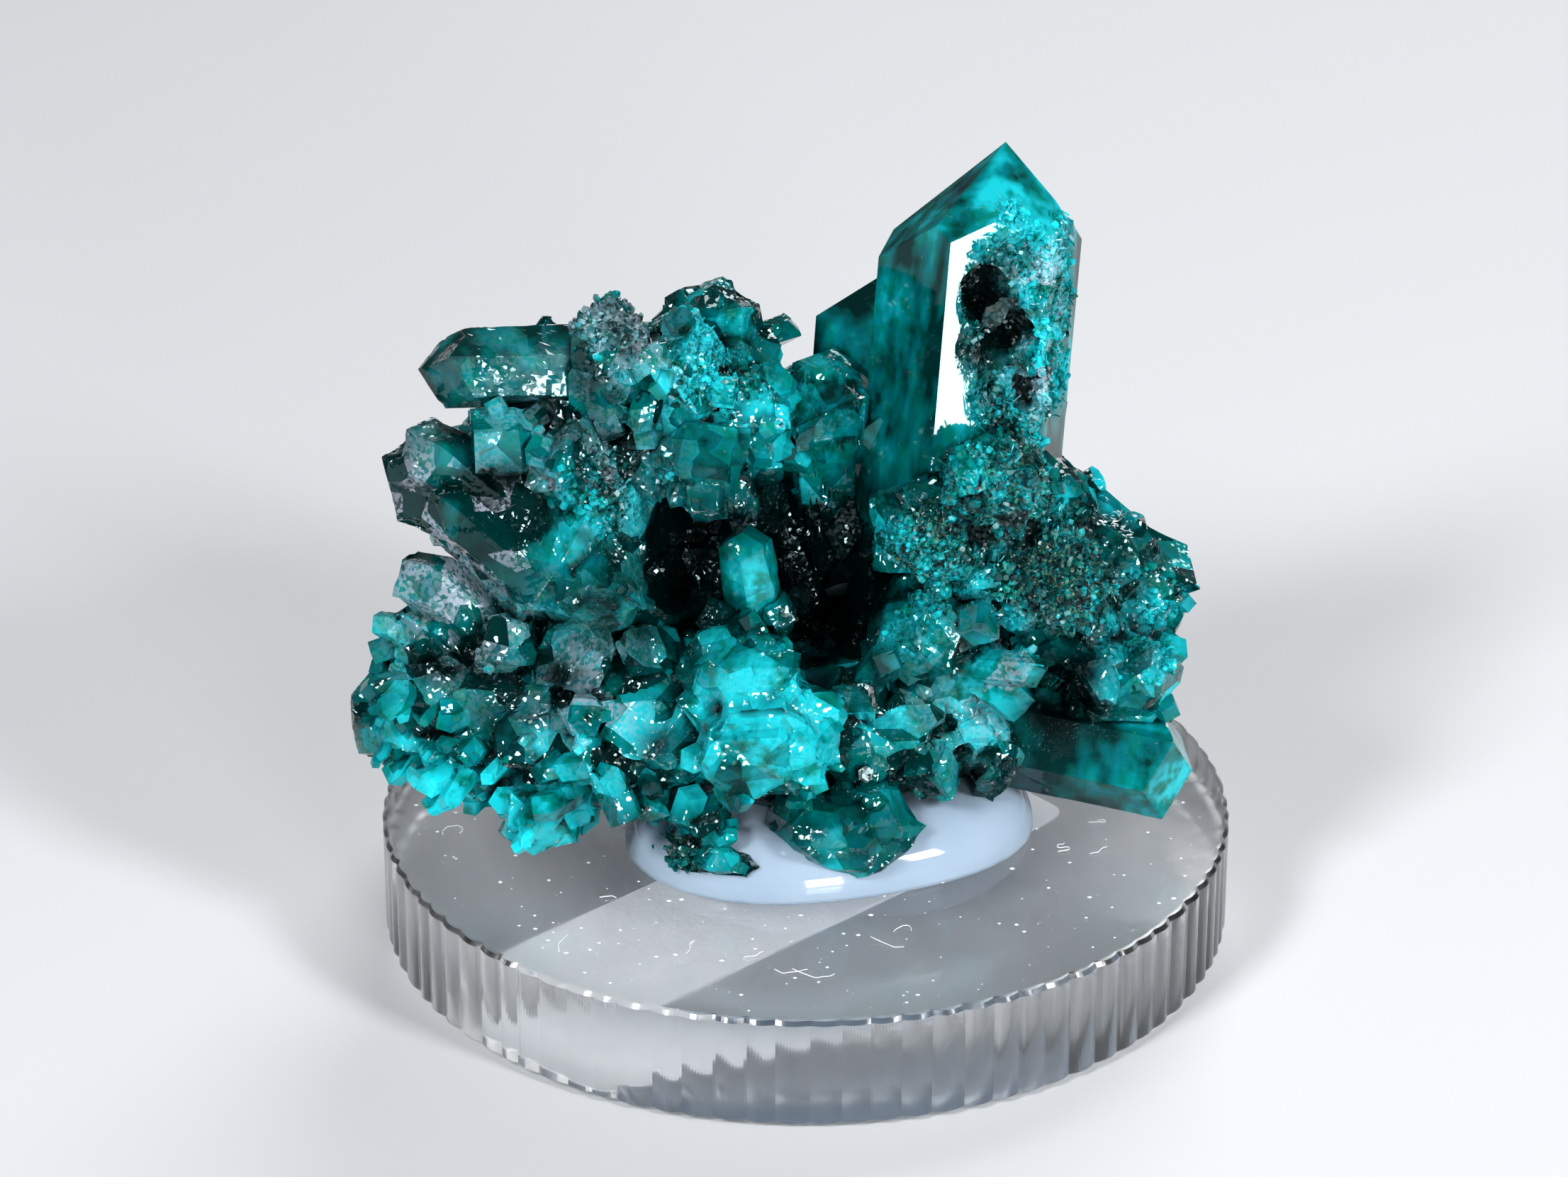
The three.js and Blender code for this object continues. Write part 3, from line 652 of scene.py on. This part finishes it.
def chips(points, size, seed):
    """The slope of the nearest scattered seed dotted with the offset from it, and one random value for its cell."""
    scaled = points / size + 7.13 * seed
    home = np.floor(scaled)
    nearest = np.full(len(points), np.inf)
    climb, value = np.zeros(len(points)), np.zeros(len(points))
    for step in product((-1, 0, 1), repeat=3):
        cell = home + step
        random = np.stack([hashed(cell, seed + salt) for salt in range(7)], -1)
        offset = scaled - cell - random[:, :3]
        gap = (offset**2).sum(axis=1)
        closer = gap < nearest
        nearest = np.where(closer, gap, nearest)
        climb = np.where(closer, size * (offset * (2 * random[:, 3:6] - 1)).sum(axis=1), climb)
        value = np.where(closer, random[:, 6], value)
    return climb, value


def wholeness(points):
    """How etched each point is: a whole crystal's own value within its radius, from a fifth of its length, else 1."""
    found = np.ones(len(points))
    for root, tip, radius, etch in WHOLE_CRYSTALS:
        axis = np.array(tip) - root
        share = np.clip((points - root) @ axis / (axis @ axis), 0.2, 1.05)
        within = np.linalg.norm(points - root - share[:, None] * axis, axis=1) < radius
        found = np.where(within, np.minimum(found, etch), found)
    return found


def hollows(points, faces, rings):
    """How far each point lies under the skin when that is averaged over its neighbours, this many rings wide."""
    ends = np.vstack((faces[:, :2], faces[:, 1:], faces[:, ::2]))
    ends = np.vstack((ends, ends[:, ::-1]))
    count = np.bincount(ends[:, 0], minlength=len(points))[:, None]
    smooth = points
    for ring in range(rings):
        totals = [np.bincount(ends[:, 0], smooth[ends[:, 1], axis], len(points)) for axis in range(3)]
        smooth = np.stack(totals, -1) / count
    return ((smooth - points) * point_normals(points, faces)).sum(axis=1)


planned = finishes_and_painted_light(skin)
crusted = planned["crust"]
etched = wholeness(skin)
clean = etched < 0.5
etched = np.maximum(np.minimum(etched, 1 - planned["smooth"]), crusted)
climb, chip = chips(skin, CHIP_SIZE, CHIP_SEED)
push = np.clip(CHIP_LEAN * climb - CHIP_SUNK, -CHIP_DEPTH, CHIP_DEPTH / 2)
push -= GRAIN_DEPTH * crusted * (1 + noise(skin, 0.6, 6) + 1.8 * noise(skin, 1.6, 7))
skin = np.clip(skin + point_normals(skin, skin_faces) * (etched * push)[:, None], LOW, HIGH)
values = finishes_and_painted_light(skin)
# Painted shade where the skin lies below the average of its neighbours, as in a hollow.
hollow_shade = np.clip(hollows(skin, skin_faces, HOLLOW_SHADE_RINGS) / HOLLOW_SHADE_DEPTH - HOLLOW_SHADE_START, 0, 1)
values["shade_and_blots"] = np.maximum(values["shade_and_blots"], hollow_shade)
values["etch"] = etched
values["tone"] = np.where(clean, 0.5, chip)
make_piece("dioptase_skin", skin, skin_faces, gem, "dioptase", ("dioptase_cluster",), attributes=values)

# %% [markdown]
# ## Druse: small crystals that coat the masses
#
# Between the large prisms the specimen is furred with thousands of tiny ones. They could be scattered as
# instances, but an export drops those. One crystal is thirteen points, so all of them are one array of points:
# a six-sided prism, a zigzag shoulder and a point, turned onto each site's own axis. Neighbours lean the same way,
# because a slow noise leans them.

# %% Druse
rng = np.random.default_rng(11)
SIDES = 6
CRYSTAL_POINTS = 2 * SIDES + 1
CAP_SLOPE = 1.23
GRAIN_WAY = 2.6
ROOT_SHADE = 0.7


def crystals(sites, axes, widths, lengths, spins):
    """Six-sided prisms from sites along axes: a root ring, a shoulder ring that falls by turns, and an apex."""
    helper = np.where(np.abs(axes[:, 2:]) < 0.8, (0.0, 0.0, 1.0), (1.0, 0.0, 0.0))
    side = np.cross(axes, helper)
    side /= np.linalg.norm(side, axis=1, keepdims=True)
    other = np.cross(axes, side)
    angle = spins[:, None] + np.arange(SIDES) * 2 * math.pi / SIDES
    radius = widths[:, None] / 2
    ring = radius[..., None] * (
        np.cos(angle)[..., None] * side[:, None] + np.sin(angle)[..., None] * other[:, None]
    )
    fall = np.minimum(CAP_SLOPE * radius, 0.7 * lengths[:, None]) * np.where(np.arange(SIDES) % 2, 0.5, 1.0)
    base = sites[:, None] + ring
    shoulder = base + (lengths[:, None] - fall)[..., None] * axes[:, None]
    apex = (sites + lengths[:, None] * axes)[:, None]
    points = np.concatenate((base, shoulder, apex), axis=1)
    low = np.arange(SIDES)
    low_next = (low + 1) % SIDES
    high, high_next = low + SIDES, low_next + SIDES
    sides = np.stack((low, low_next, high_next, low, high_next, high), -1).reshape(-1, 3)
    cap = np.stack((high, high_next, np.full(SIDES, 2 * SIDES)), -1)
    foot = np.array(((0, 2, 1), (0, 3, 2), (0, 4, 3), (0, 5, 4)))
    shape = np.vstack((sides, cap, foot))
    faces = shape + CRYSTAL_POINTS * np.arange(len(sites))[:, None, None]
    return points.reshape(-1, 3), faces.reshape(-1, 3)


def scatter(count, weight):
    """Random sites on the skin, drawn by each face's area times its weight, with normals and the painted shade and
    blots at each.
    """
    corner = skin[skin_faces]
    area = np.cross(corner[:, 1] - corner[:, 0], corner[:, 2] - corner[:, 0])
    size = np.linalg.norm(area, axis=1)
    chance = size * weight[skin_faces].mean(axis=1)
    chosen = rng.choice(len(skin_faces), count, p=chance / chance.sum())
    mix = rng.dirichlet((1, 1, 1), count)
    sites = (corner[chosen] * mix[..., None]).sum(axis=1)
    shade = values["shade_and_blots"][skin_faces[chosen]].mean(axis=1)
    return sites, area[chosen] / np.maximum(size[chosen, None], 1e-12), shade


def druse(name, count, weight, widths, stretch, lean, sunk, etch, material, toward=(0, 0, 0)):
    """Crystals on the skin, leaning off its normal with their neighbours and a little at random, sunk by a share."""
    sites, normals, shade = scatter(count, weight)
    shared = np.stack([noise(sites, GRAIN_WAY, 30 + axis) for axis in range(3)], -1)
    axes = normals + toward + lean * (1.5 * shared + 0.5 * rng.normal(size=(count, 3)))
    axes /= np.linalg.norm(axes, axis=1, keepdims=True)
    across = widths[0] + (widths[1] - widths[0]) * rng.uniform(0, 1, count) ** 2.5
    length = across * rng.uniform(*stretch, count)
    roots = sites - axes * (sunk * length)[:, None]
    tips = roots + axes * length[:, None]
    margin = across[:, None] / 2
    inside = ((tips - margin > LOW) & (tips + margin < HIGH) & (roots > LOW)).all(axis=1)
    spins = rng.uniform(0, math.pi, count)
    points, faces = crystals(*(each[inside] for each in (roots, axes, across, length, spins)))
    looks = finishes_and_painted_light(points)
    at_root = np.tile(np.arange(CRYSTAL_POINTS) < SIDES, inside.sum())
    # Painted shade at each crystal's root, and the skin's painted shade where it stands.
    painted_root_shade = ROOT_SHADE * at_root * (1 - looks["clear"])
    looks["shade_and_blots"] = np.maximum(np.repeat(shade[inside], CRYSTAL_POINTS), painted_root_shade)
    looks["tone"] = np.repeat(rng.uniform(0, 1, inside.sum()), CRYSTAL_POINTS)
    looks["etch"] = np.full(len(points), etch)
    make_piece(name, points, faces, material, "dioptase", attributes=looks)


# %% [markdown]
# ## Where the druse grows
#
# Four sizes of crystal grow on four parts of the skin. A count per square millimetre could be set by hand for each
# place, but the attributes already say what each place is, so they serve as the weights of the draw. Green crystals
# take the etched masses in clumps, shards the lower left, and grains and needles the crust. None grow in the gaps.

# %% Sites for the druse
FOOT_HEIGHT = 6.5
lit = np.clip(1 - 1.4 * values["shade_and_blots"], 0, 1)
grown_over = np.clip(1 - clean - 0.7 * values["aqua"], 0, 1) * lit * (skin[:, 2] > FOOT_HEIGHT)
masses = grown_over * np.clip(noise(skin, 3.2, 8) + 0.2, 0, 1)
druse("green_druse", 420, masses, (0.25, 1.3), (0.9, 2.0), lean=0.5, sunk=0.55, etch=0.4, material=druse_gem)
low_left = grown_over * (skin[:, 0] < -6.5) * (skin[:, 2] < 11) * (skin[:, 1] < 0)
spread = dict(lean=0.3, sunk=0.5, etch=0.3, toward=(-1.0, -0.7, -0.4))
druse("shard_druse", 130, low_left, (0.4, 1.3), (1.6, 3.2), material=druse_gem, **spread)
crust = values["crust"] * lit
druse("crust_druse", 5600, crust, (0.06, 0.3), (0.9, 2.2), lean=0.9, sunk=0.4, etch=0.0, material=crust_gem)
druse("needle_druse", 2600, crust, (0.03, 0.08), (4.0, 9.0), lean=1.4, sunk=0.3, etch=0.0, material=crust_gem)

# %% [markdown]
# ## Glue
#
# Under the cluster is a puddle of milky glue with a rounded lip. A metaball would give the shape, but its edge
# is simpler as a formula: rings that shrink and rise along a quarter of a superellipse, stretched to the
# puddle's uneven outline.

# %% Glue pad
GLUE_CENTRE = (0.6, -1.3)
GLUE_RADII = (7.0, 6.1)
BASE_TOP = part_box("acrylic_base")[1].z / MM
GLUE_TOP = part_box("glue_pad")[1].z / MM
GLUE_SUNK = 0.02
THIN_MILK, THICK_MILK = (0.21, 0.28, 0.37), (0.29, 0.37, 0.45)


def glue_surface(around=180, up=26):
    """Radius is the cosine to the 0.36 and height the sine to the 0.9, of an angle from the edge to the middle."""
    angle = np.linspace(0, 2 * math.pi, around, endpoint=False)
    bulge = 1 + 0.05 * np.cos(3 * angle + 0.6) + 0.04 * np.cos(2 * angle - 1.1)
    climb = np.linspace(0, 0.96, up)[:, None] * math.pi / 2
    share = np.cos(climb) ** 0.36
    x = GLUE_CENTRE[0] + GLUE_RADII[0] * bulge * np.cos(angle) * share
    y = GLUE_CENTRE[1] + GLUE_RADII[1] * bulge * np.sin(angle) * share
    height = (GLUE_TOP - BASE_TOP) * np.sin(climb) ** 0.9
    z = BASE_TOP - GLUE_SUNK + height + 0 * x
    z += 0.05 * height * noise(np.stack((x, y, z), -1).reshape(-1, 3), 2.5, 5).reshape(x.shape)
    return wrap_rings(np.stack((x, y, z), -1))


def glue_material():
    """Milky: a pale body with light carried under the skin, a wet gloss, and a faint cloudiness."""
    material, tree, shader = new_material("milky_glue")
    drift = variation(tree, scale=260)
    tree.links.new(blend(tree, drift["Broad"], THIN_MILK, THICK_MILK), shader.inputs["Base Color"])
    tree.links.new(ramp(tree, drift["Fine"], 0.3, 0.7, 0.03, 0.1), shader.inputs["Roughness"])
    shader.inputs["Subsurface Weight"].default_value = 0.6
    shader.inputs["Subsurface Radius"].default_value = (1.0, 1.0, 1.0)
    shader.inputs["Subsurface Scale"].default_value = 0.001
    shader.inputs["IOR"].default_value = 1.48
    return material


make_piece("glue_puddle", *glue_surface(), glue_material(), "glue", ("glue_pad",), smooth=True)

# %% [markdown]
# ## Clear base
#
# The disc was sawn from clear sheet and polished, which leaves shallow uneven flutes round its edge. A cylinder
# with a bump map would keep a smooth outline, so the flutes are in the shape: the profile of the edge is carried
# round the circle, and its radius dips by a groove that changes with the angle.

# %% Acrylic base
BASE_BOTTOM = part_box("acrylic_base")[0].z / MM
BASE_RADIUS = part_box("acrylic_base")[1].x / MM
FLUTES = 88
FLUTE_DEPTH = 0.2
BASE_CHAMFER = 0.16


def base_surface(around=FLUTES * 10):
    """Rings of the edge's profile, from the underside up the wall and in over the top, dipped by the flutes."""
    angle = np.linspace(0, 2 * math.pi, around, endpoint=False)
    circle = np.stack((np.cos(angle), np.sin(angle), np.zeros(around)), -1)
    drift = 1.4 * noise(circle, 0.12, 2)
    depth = FLUTE_DEPTH * (0.55 + 0.45 * noise(circle, 0.09, 4))
    groove = depth * (1 - np.abs(np.sin(FLUTES / 2 * angle + drift)))
    profile = np.array([
        (0.5, 0.0, BASE_BOTTOM),
        (0.97, 0.3, BASE_BOTTOM),
        (1.0, 1.0, BASE_BOTTOM + BASE_CHAMFER),
        (1.0, 1.0, BASE_TOP - BASE_CHAMFER),
        (0.992, 0.9, BASE_TOP - 0.02),
        (0.985, 0.6, BASE_TOP),
        (0.5, 0.0, BASE_TOP),
    ])
    share, dip, height = profile.T[..., None]
    radius = BASE_RADIUS * share - dip * groove
    rings = np.stack((radius * np.cos(angle), radius * np.sin(angle), height + 0 * radius), -1)
    sawn = np.append(np.repeat(profile[:, 1] > 0.5, around), (False, False))
    return *wrap_rings(rings), {"sawn": sawn}


def acrylic_material():
    """Clear sheet: plain transmission at acrylic's index, polished on top and frosted by the saw round its edge."""
    material, tree, shader = new_material("clear_acrylic")
    polish = ramp(tree, variation(tree, scale=180)["Fine"], 0.45, 0.75, 0.01, 0.06)
    frost = ramp(tree, attribute(tree, "sawn"), 0, 1, 0, 0.16)
    tree.links.new(sums(tree, "ADD", polish, frost), shader.inputs["Roughness"])
    shader.inputs["Base Color"].default_value = (0.97, 0.985, 1.0, 1)
    shader.inputs["Transmission Weight"].default_value = 1.0
    shader.inputs["IOR"].default_value = 1.49
    return material


points, faces, sawn = base_surface()
make_piece("clear_disc", points, faces, acrylic_material(), "acrylic", ("acrylic_base",), attributes=sawn)

# %% [markdown]
# ## Paper strip
#
# A strip of white paper is stuck under the disc and shows through it. It is a flat sheet, so a grid would do,
# with its thickness as the sides. Its top is let into the disc by a hair, because stuck paper has no air above it.

# %% Paper strip
LABEL_LENGTH = 22.0
LABEL_WIDTH = 6.3
LABEL_ANGLE = math.radians(42.4)
LABEL_CENTRE = (-0.8, -2.9)
LABEL_LET_IN = 0.02
LABEL_CORNER = 0.12


def label_surface(around=64):
    """Four rings of a rounded rectangle: in from the underside's edge, that edge, the top's edge, and in from it."""
    angle = np.linspace(0, 2 * math.pi, around, endpoint=False)
    outline = np.stack((np.cos(angle), np.sin(angle)), -1)
    outline = np.sign(outline) * np.abs(outline) ** LABEL_CORNER * (LABEL_LENGTH / 2, LABEL_WIDTH / 2)
    cosine, sine = math.cos(LABEL_ANGLE), math.sin(LABEL_ANGLE)
    turn = np.array(((cosine, sine), (-sine, cosine)))
    shares = np.array((0.9, 1.0, 1.0, 0.9))[:, None, None]
    heights = np.array((0.0, 0.0, 1.0, 1.0))[:, None] * (BASE_BOTTOM + LABEL_LET_IN)
    flat = (outline * shares) @ turn + LABEL_CENTRE
    return wrap_rings(np.concatenate((flat, (heights + np.zeros(around))[..., None]), -1))


def paper_material():
    """White paper: a faint drift of tone and a fibre grain."""
    material, tree, shader = new_material("white_paper")
    drift = variation(tree, scale=700)
    white = blend(tree, drift["Broad"], (0.8, 0.82, 0.85), (0.92, 0.93, 0.95))
    tree.links.new(white, shader.inputs["Base Color"])
    bump = place(tree, "ShaderNodeBump", {"Height": drift["Fine"], "Strength": 0.2, "Distance": 0.0001})
    tree.links.new(bump.outputs[0], shader.inputs["Normal"])
    shader.inputs["Roughness"].default_value = 0.85
    return material


make_piece("paper_strip", *label_surface(), paper_material(), "paper", ("label_strip",))

# %% [markdown]
# ## Dust and lint on the disc
#
# Polished plastic draws dust, and under a lamp it shows as bright specks and curled fibres. A speckle texture
# would lie flat in the surface, so each speck is a tiny flattened octahedron and each fibre a thin tube along a
# curved path. They are scattered over the top of the disc outside the cluster's foot.

# %% Dust and lint
DUST_COUNT, DUST_RING, DUST_LIFT = 800, (4.0, 14.4), 0.015
LINT_COUNT, LINT_RING, LINT_LIFT = 22, (9.0, 12.5), 0.03
LINT_RADIUS = 0.014


def on_disc(count, inner, outer):
    """Places spread evenly over the ring between two radii on top of the disc."""
    radius = np.sqrt(rng.uniform(inner**2, outer**2, count))
    angle = rng.uniform(0, 2 * math.pi, count)
    return np.stack((radius * np.cos(angle), radius * np.sin(angle), np.full(count, BASE_TOP)), -1)


def dust_surface():
    """Six points and eight faces for each speck, in sizes that are mostly small, a third as tall as they are wide."""
    places = on_disc(DUST_COUNT, *DUST_RING)
    size = 0.02 + 0.09 * rng.uniform(0, 1, DUST_COUNT) ** 3
    corner = np.array(((1, 0, 0), (0, 1, 0), (-1, 0, 0), (0, -1, 0), (0, 0, 1), (0, 0, -1.0)))
    stretch = np.stack((size, size * rng.uniform(0.5, 1, DUST_COUNT), size / 3), -1)
    points = places[:, None] + corner * stretch[:, None] + (0, 0, DUST_LIFT)
    shape = np.array([(0, 1, 4), (1, 2, 4), (2, 3, 4), (3, 0, 4), (1, 0, 5), (2, 1, 5), (3, 2, 5), (0, 3, 5)])
    faces = shape + 6 * np.arange(DUST_COUNT)[:, None, None]
    return points.reshape(-1, 3), faces.reshape(-1, 3)


def lint_surface(steps=28, around=5):
    """A tube along a path whose heading turns by a steady curl and a wave, lying on the disc."""
    places = on_disc(LINT_COUNT, *LINT_RING)
    length = rng.uniform(0.5, 1.7, LINT_COUNT)[:, None]
    share = np.linspace(0, 1, steps)
    heading = rng.uniform(0, 2 * math.pi, (LINT_COUNT, 1)) + rng.normal(0, 2.2, (LINT_COUNT, 1)) * share
    heading = heading + rng.normal(0, 0.9, (LINT_COUNT, 1)) * np.sin(9 * share)
    way = np.stack((np.cos(heading), np.sin(heading), 0.25 * np.cos(7 * heading)), -1)
    walk = way * (length / steps)[..., None]
    path = places[:, None] + np.cumsum(walk, axis=1)
    path[..., 2] += LINT_LIFT - np.minimum(path[..., 2].min(axis=1) - BASE_TOP, 0)[:, None]
    turn = np.linspace(0, 2 * math.pi, around, endpoint=False)
    beside = np.stack((-np.sin(heading), np.cos(heading), 0 * heading), -1)
    ring = np.cos(turn)[:, None] * beside[:, :, None] + np.sin(turn)[:, None] * (0, 0, 1)
    parts = [wrap_rings(each) for each in path[:, :, None] + LINT_RADIUS * ring]
    start = np.cumsum([0] + [len(tube) for tube, sides in parts])
    points = np.vstack([tube for tube, sides in parts])
    return points, np.vstack([sides + first for (tube, sides), first in zip(parts, start)])


def dust_material():
    """Pale grey and matt."""
    material, tree, shader = new_material("pale_dust")
    grey = blend(tree, variation(tree, scale=900)["Broad"], (0.6, 0.64, 0.7), (0.9, 0.92, 0.95))
    tree.links.new(grey, shader.inputs["Base Color"])
    shader.inputs["Roughness"].default_value = 0.8
    return material


dust_finish = dust_material()
make_piece("disc_dust", *dust_surface(), dust_finish, "paper")
make_piece("disc_lint", *lint_surface(), dust_finish, "paper", smooth=True)

# %% [markdown]
# ## Floor
#
# A plain pale floor shows the specimen's shadow and lights it from below. A curved backdrop would do as well, but
# the camera looks down, so a large flat sheet fills the picture. It is stage, not part of the specimen.

# %% Floor
FLOOR_REACH = 3000.0
floor_mesh = bpy.data.meshes.new("floor")
corners = np.array(((-1, -1, 0), (1, -1, 0), (1, 1, 0), (-1, 1, 0))) * FLOOR_REACH * MM
floor_mesh.from_pydata(corners.tolist(), [], [(0, 1, 2, 3)])
floor = bpy.data.objects.new("floor", floor_mesh)
bpy.context.scene.collection.objects.link(floor)
floor_finish, _, floor_shader = new_material("pale_floor")
floor_shader.inputs["Base Color"].default_value = (0.5, 0.51, 0.53, 1)
floor_shader.inputs["Roughness"].default_value = 0.6
floor_mesh.materials.append(floor_finish)
